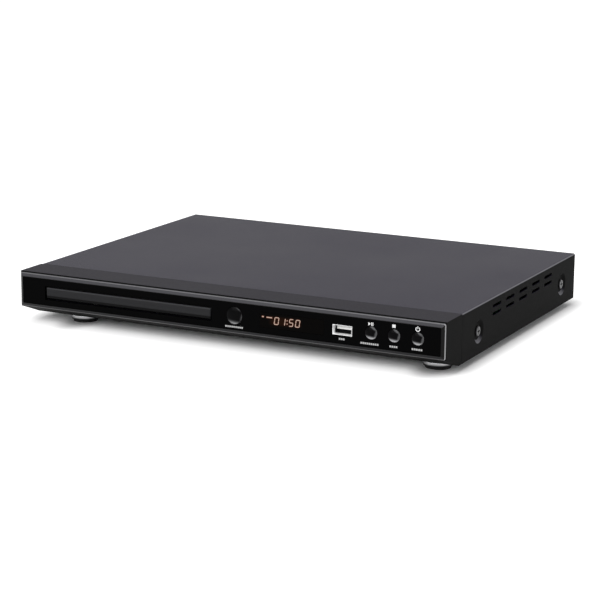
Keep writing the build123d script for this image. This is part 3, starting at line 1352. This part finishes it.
# Pickup sled: body between the rods, a bored ear and an open ear, and the arm that rides the screw
ear_top = deck_z - GUIDE_PLAY
ear_low = rod_z - 2 * ROD_RADIUS
with BuildPart() as pickup_sled:
    with BuildSketch(Plane.XY.offset(ear_low)):
        with Locations((door_x, (sled_front + sled_back) / 2)):
            Rectangle(2 * (WINDOW_HALF - 2 * EAR_AIR), SLED_LENGTH)
    extrude(amount=deck_top - ear_low)
    with BuildSketch(Plane.XY.offset(ear_low)):
        with Locations((door_x - SCREW_SIDE / 2, (sled_front + sled_back) / 2)):
            Rectangle(2 * ROD_HALF + 4 * ROD_RADIUS - SCREW_SIDE, SLED_LENGTH)
        with Locations((door_x + SCREW_SIDE / 2, (sled_front + sled_back) / 2)):
            Rectangle(SCREW_SIDE, SLED_LENGTH)
    extrude(amount=ear_top - ear_low)
    with BuildSketch(Plane.XY.offset(deck_top)):
        with Locations((door_x, disc_y + SLED_START)):
            lens_block = Rectangle(LENS_BLOCK, 2 * SLED_LEAD)
        fillet(lens_block.vertices(), DECK_CORNER / 2)
    extrude(amount=lens_top - LENS_RISE - deck_top)
    with BuildSketch(facing_front(sled_front)):
        with Locations((door_x - ROD_HALF, rod_z), (door_x + ROD_HALF, rod_z)):
            Circle(ROD_RADIUS + AXLE_PLAY)
        with Locations((door_x + SCREW_SIDE, rod_z)):
            Circle(LEAD_RADIUS + AXLE_PLAY)
        with Locations((door_x - ROD_HALF - 2 * ROD_RADIUS, rod_z)):
            Rectangle(4 * ROD_RADIUS, 2 * (ROD_RADIUS + AXLE_PLAY))
    extrude(amount=-SLED_LENGTH, mode=Mode.SUBTRACT)
pickup_sled.part.label = "pickup_sled"
export_step(pickup_sled.part, "parts/pickup_sled.step")

with BuildPart() as objective_lens:
    with Locations((door_x, disc_y + SLED_START, lens_top - LENS_RISE)):
        Cylinder(LENS_RADIUS, LENS_RISE, align=(Align.CENTER, Align.CENTER, Align.MIN))
    fillet(objective_lens.edges().filter_by(GeomType.CIRCLE).sort_by(Axis.Z)[-1], LENS_RISE / 3)
objective_lens.part.label = "objective_lens"
export_step(objective_lens.part, "parts/objective_lens.step")

# Sled motor and the lead screw that it turns
with BuildPart() as sled_motor:
    with BuildSketch(facing_front(sled_motor_y + SLED_MOTOR_LENGTH)):
        with Locations((door_x + SCREW_SIDE, rod_z)):
            Circle(SLED_MOTOR_RADIUS)
    extrude(amount=SLED_MOTOR_LENGTH)
    with BuildSketch(facing_front(sled_motor_y + 2 * CROSS_WALL)):
        with Locations((door_x + SCREW_SIDE, rod_z)):
            Circle(SHAFT_RADIUS + AXLE_PLAY)
    extrude(amount=2 * CROSS_WALL, mode=Mode.SUBTRACT)
sled_motor.part.label = "sled_motor"
export_step(sled_motor.part, "parts/sled_motor.step")

with BuildPart() as lead_screw:
    with BuildSketch(facing_front(sled_motor_y - SHAFT_AIR)):
        with Locations((door_x + SCREW_SIDE, rod_z)):
            Circle(LEAD_RADIUS)
    extrude(amount=sled_motor_y - SHAFT_AIR - rod_front)
    with BuildSketch(facing_front(sled_motor_y + CROSS_WALL)):
        with Locations((door_x + SCREW_SIDE, rod_z)):
            Circle(SHAFT_RADIUS)
    extrude(amount=2 * CROSS_WALL)
lead_screw.part.label = "lead_screw"
export_step(lead_screw.part, "parts/lead_screw.step")

# Clamp bridge over the tray and the clamper hanging in it
with BuildPart() as clamp_bridge:
    with BuildSketch(Plane.XY.offset(bridge_z)):
        with Locations((door_x, disc_y)):
            bridge_outline = Rectangle(2 * wall_out, BRIDGE_WIDTH)
            fillet(bridge_outline.vertices(), DECK_CORNER)
            Circle(CLAMP_HOLE, mode=Mode.SUBTRACT)
        with Locations(*bridge_screws):
            Circle(screw_hole, mode=Mode.SUBTRACT)
    extrude(amount=BRIDGE_THICK)
    with BuildSketch(Plane.XY.offset(bridge_z + BRIDGE_THICK)):
        with Locations((door_x, disc_y)):
            with GridLocations(wall_out + CLAMP_FLANGE, BRIDGE_WIDTH - 2 * BRIDGE_SCREW, 2, 2):
                SlotOverall(wall_in - CLAMP_FLANGE - 8 * BRIDGE_BEAD, 2 * BRIDGE_BEAD)
    extrude(amount=BRIDGE_BEAD)
clamp_bridge.part.label = "clamp_bridge"
export_step(clamp_bridge.part, "parts/clamp_bridge.step")

with BuildPart() as clamper:
    with BuildSketch(Plane((door_x, disc_y, 0), x_dir=(1, 0, 0), z_dir=(0, -1, 0))):
        with BuildLine():
            Polyline(
                (0, hub_top + SHAFT_AIR * 2),
                (HUB_RADIUS, hub_top + SHAFT_AIR * 2),
                (HUB_RADIUS, clamp_low),
                (CLAMP_HOLE - CLAMP_PLAY, clamp_low),
                (CLAMP_HOLE - CLAMP_PLAY, bridge_z + BRIDGE_THICK),
                (CLAMP_FLANGE, bridge_z + BRIDGE_THICK),
                (CLAMP_FLANGE, bridge_z + BRIDGE_THICK + CLAMP_RIM),
                (HUB_RADIUS, bridge_z + BRIDGE_THICK + CLAMP_RIM),
                (HUB_RADIUS, bridge_z + BRIDGE_THICK + 2 * CLAMP_RIM),
                (0, bridge_z + BRIDGE_THICK + 2 * CLAMP_RIM),
                close=True,
            )
        make_face()
    revolve(axis=Axis((door_x, disc_y, 0), (0, 0, 1)))
clamper.part.label = "clamper"
export_step(clamper.part, "parts/clamper.step")

# Main board with its chip, heat sink and connectors
with BuildPart() as main_board:
    with BuildSketch(Plane.XY.offset(board_z)):
        with Locations((main_x, main_y)):
            Rectangle(main_right - main_left, MAIN_BOARD_DEPTH)
        with Locations(*main_corners):
            Circle(screw_hole, mode=Mode.SUBTRACT)
    extrude(amount=BOARD)
main_board.part.label = "main_board"
export_step(main_board.part, "parts/main_board.step")

chip_x = main_x + CHIP_SHIFT[0]
chip_y = main_y + CHIP_SHIFT[1]
with BuildPart() as main_chip:
    with Locations((chip_x, chip_y, board_top)):
        Box(CHIP_SIDE, CHIP_SIDE, CHIP_THICK, align=(Align.CENTER, Align.CENTER, Align.MIN))
main_chip.part.label = "main_chip"
export_step(main_chip.part, "parts/main_chip.step")

fin_pitch = (CHIP_SIDE - SINK_FIN) / (SINK_FINS - 1)
with BuildPart() as heat_sink:
    with Locations((chip_x, chip_y, board_top + CHIP_THICK)):
        Box(CHIP_SIDE, CHIP_SIDE, SINK_FLOOR, align=(Align.CENTER, Align.CENTER, Align.MIN))
        with GridLocations(fin_pitch, 0, SINK_FINS, 1):
            Box(SINK_FIN, CHIP_SIDE, SINK_HEIGHT, align=(Align.CENTER, Align.CENTER, Align.MIN))
heat_sink.part.label = "heat_sink"
export_step(heat_sink.part, "parts/heat_sink.step")

# Ribbon from the main board to the front board, with a connector at each end
plug_y = main_front + PLUG_DEPTH
with BuildPart() as board_connectors:
    with Locations((plug_x, plug_y, board_top)):
        Box(PLUG_WIDTH, PLUG_DEPTH, PLUG_HEIGHT, align=(Align.CENTER, Align.CENTER, Align.MIN))
    with Locations((plug_x, board_y + BOARD, window_z)):
        Box(PLUG_WIDTH, PLUG_DEPTH, PLUG_HEIGHT, align=(Align.CENTER, Align.MIN, Align.CENTER))
board_connectors.part.label = "board_connectors"
export_step(board_connectors.part, "parts/board_connectors.step")

ribbon_top = skin_top - RIBBON_SINK
ribbon_end = board_y + BOARD + PLUG_DEPTH
with BuildPart() as signal_ribbon:
    with BuildSketch(facing_right(plug_x)):
        with BuildLine():
            FilletPolyline(
                (plug_y, board_top + PLUG_HEIGHT),
                (plug_y, ribbon_top),
                (ribbon_end + 2 * RIBBON_REACH, ribbon_top),
                (ribbon_end + RIBBON_REACH, window_z),
                (ribbon_end, window_z),
                radius=RIBBON_BEND,
            )
        trace(line_width=RIBBON_THICK)
    extrude(amount=RIBBON_WIDTH / 2, both=True)
signal_ribbon.part.label = "signal_ribbon"
export_step(signal_ribbon.part, "parts/signal_ribbon.step")

# Power board with its transformer and capacitors
with BuildPart() as power_board:
    with BuildSketch(Plane.XY.offset(board_z)):
        with Locations((power_board_x, power_board_y)):
            Rectangle(POWER_BOARD_WIDTH, power_back - power_front)
        with Locations(*power_corners):
            Circle(screw_hole, mode=Mode.SUBTRACT)
    extrude(amount=BOARD)
power_board.part.label = "power_board"
export_step(power_board.part, "parts/power_board.step")

with BuildPart() as transformer:
    with Locations((power_board_x + TRANSFORMER_SHIFT[0], power_board_y + TRANSFORMER_SHIFT[1], board_top)):
        Box(
            TRANSFORMER_WIDTH,
            TRANSFORMER_DEPTH,
            TRANSFORMER_HEIGHT,
            align=(Align.CENTER, Align.CENTER, Align.MIN),
        )
        Cylinder(
            TRANSFORMER_COIL,
            TRANSFORMER_HEIGHT - TRANSFORMER_BOBBIN,
            align=(Align.CENTER, Align.CENTER, Align.MIN),
        )
transformer.part.label = "transformer"
export_step(transformer.part, "parts/transformer.step")

with BuildPart() as capacitors:
    for x_shift, y_shift, radius, height in CAPACITORS:
        with Locations((power_board_x + x_shift, power_board_y + y_shift, board_top)):
            Cylinder(radius, height, align=(Align.CENTER, Align.CENTER, Align.MIN))
capacitors.part.label = "capacitors"
export_step(capacitors.part, "parts/capacitors.step")

# Rear sockets: jack block with three jacks, picture socket and mains inlet
panel_inside = rear_face - SHEET
jack_end = back + JACK_PROUD
jack_spread = JACK_PITCH * (len(JACK_COLOURS) - 1)
with BuildPart() as jack_housing:
    with Locations((jack_x, panel_inside, board_top)):
        Box(
            jack_spread + 2 * JACK_MARGIN,
            JACK_DEPTH,
            2 * JACK_RISE,
            align=(Align.CENTER, Align.MAX, Align.MIN),
        )
jack_housing.part.label = "jack_housing"
export_step(jack_housing.part, "parts/jack_housing.step")

with BuildPart() as jack_shells:
    with BuildSketch(facing_front(panel_inside)):
        with Locations(*jack_places):
            Circle(JACK_RADIUS)
            Circle(JACK_RADIUS - JACK_WALL, mode=Mode.SUBTRACT)
    extrude(amount=-(jack_end - panel_inside))
jack_shells.part.label = "jack_shells"
export_step(jack_shells.part, "parts/jack_shells.step")

for colour, place in zip(JACK_COLOURS, jack_places):
    with BuildPart() as jack_insert:
        with BuildSketch(facing_front(panel_inside)):
            with Locations(place):
                Circle(JACK_RADIUS - JACK_WALL)
        extrude(amount=-(jack_end - panel_inside - SOCKET_GAP))
        with BuildSketch(facing_front(panel_inside + JACK_WALL)):
            with Locations(place):
                Circle(JACK_BORE)
        extrude(amount=-(jack_end - panel_inside), mode=Mode.SUBTRACT)
    jack_insert.part.label = f"jack_insert_{colour}"
    export_step(jack_insert.part, f"parts/jack_insert_{colour}.step")

with BuildPart() as hdmi_socket:
    with BuildSketch(facing_front(rear_face)):
        with Locations((hdmi_x, hdmi_z)):
            hdmi_outline = Rectangle(HDMI_WIDTH, HDMI_HEIGHT)
        chamfer(hdmi_outline.vertices().group_by(Axis.Y)[0], HDMI_CORNER)
    extrude(amount=HDMI_DEPTH)
    with BuildSketch(facing_front(rear_face)):
        with Locations((hdmi_x, hdmi_z)):
            hdmi_hollow = Rectangle(HDMI_WIDTH - 2 * HDMI_WALL, HDMI_HEIGHT - 2 * HDMI_WALL)
        chamfer(hdmi_hollow.vertices().group_by(Axis.Y)[0], HDMI_CORNER)
        with Locations((hdmi_x, hdmi_z)):
            Rectangle(HDMI_BLADE, HDMI_BLADE_THICK, mode=Mode.SUBTRACT)
    extrude(amount=HDMI_HOLLOW, mode=Mode.SUBTRACT)
hdmi_socket.part.label = "hdmi_socket"
export_step(hdmi_socket.part, "parts/hdmi_socket.step")

with BuildPart() as mains_inlet:
    with BuildSketch(facing_front(rear_face)):
        with Locations((inlet_x, inlet_z)):
            Rectangle(INLET_WIDTH, INLET_HEIGHT)
    extrude(amount=INLET_DEPTH)
    with BuildSketch(facing_front(rear_face)):
        with Locations((inlet_x, inlet_z)):
            inlet_flange = Rectangle(INLET_WIDTH + 2 * INLET_RIM, INLET_HEIGHT + 2 * INLET_RIM)
        fillet(inlet_flange.vertices(), INLET_RIM / 2)
    extrude(amount=-INLET_RIM / 2)
    with BuildSketch(facing_front(rear_face + INLET_RIM / 2)):
        with Locations((inlet_x, inlet_z)):
            SlotOverall(INLET_HOLLOW[0], INLET_HOLLOW[1])
    extrude(amount=INLET_HOLLOW[2], mode=Mode.SUBTRACT)
    with BuildSketch(facing_front(rear_face + INLET_RIM / 2 - INLET_HOLLOW[2])):
        with Locations((inlet_x - INLET_PITCH / 2, inlet_z), (inlet_x + INLET_PITCH / 2, inlet_z)):
            Circle(INLET_PIN)
    extrude(amount=-(INLET_HOLLOW[2] - INLET_RIM))
mains_inlet.part.label = "mains_inlet"
export_step(mains_inlet.part, "parts/mains_inlet.step")


# Screws: one head with a cross recess, its seat on the local origin and its shank downwards
def pan_screw(head, rise, shank, length):
    with BuildPart() as screw:
        Cylinder(head, rise, align=(Align.CENTER, Align.CENTER, Align.MIN))
        chamfer(screw.edges().filter_by(GeomType.CIRCLE).sort_by(Axis.Z)[-1], rise / 3)
        Cylinder(shank, length, align=(Align.CENTER, Align.CENTER, Align.MAX))
        with BuildSketch(Plane.XY.offset(rise)):
            Rectangle(head * 1.2, CROSS_WIDTH)
            Rectangle(CROSS_WIDTH, head * 1.2)
        extrude(amount=-CROSS_DEPTH, mode=Mode.SUBTRACT)
    return screw.part


shank = SCREW_RADIUS - THREAD_PLAY
cover_screw = pan_screw(HEAD_RADIUS, HEAD_HEIGHT, shank, SCREW_LENGTH)
with BuildPart() as cover_screws:
    for side, y in side_seats:
        with Locations(Plane(origin=(side * (half - DISH_DEPTH), y, dish_z), z_dir=(side, 0, 0))):
            add(cover_screw)
    for x in rear_screws:
        with Locations(Plane(origin=(x, back, lip_mid), z_dir=(0, 1, 0))):
            add(cover_screw)
cover_screws.part.label = "cover_screws"
export_step(cover_screws.part, "parts/cover_screws.step")

foot_screw = pan_screw(HEAD_RADIUS, SMALL_HEAD_HEIGHT, shank, SHEET + FOOT_BORE)
base_screw = pan_screw(HEAD_RADIUS, SMALL_HEAD_HEIGHT, shank, SHEET + HOOK_THICK)
with BuildPart() as base_screws:
    for x, y in foot_places:
        with Locations((x, y, floor_z)):
            add(foot_screw)
    for x, y in hook_places + rear_foot_places:
        with Locations(Plane(origin=(x, y, base_z), z_dir=(0, 0, -1))):
            add(base_screw)
base_screws.part.label = "base_screws"
export_step(base_screws.part, "parts/base_screws.step")

small_screw = pan_screw(SMALL_HEAD, SMALL_HEAD_HEIGHT, SMALL_SCREW, SCREW_LENGTH)
bridge_screw = pan_screw(SMALL_HEAD, SMALL_HEAD_HEIGHT, PILOT_RADIUS - THREAD_PLAY, SCREW_LENGTH)
with BuildPart() as board_screws:
    for x, y in main_corners + power_corners:
        with Locations((x, y, board_top)):
            add(small_screw)
    for x, y in lug_places:
        with Locations((x, y, frame_under + LUG_THICK)):
            add(small_screw)
    for x, z in post_places:
        with Locations(Plane(origin=(x, board_y + BOARD, z), z_dir=(0, 1, 0))):
            add(small_screw)
    for x, y in bridge_screws:
        with Locations((x, y, bridge_z + BRIDGE_THICK)):
            add(bridge_screw)
board_screws.part.label = "board_screws"
export_step(board_screws.part, "parts/board_screws.step")
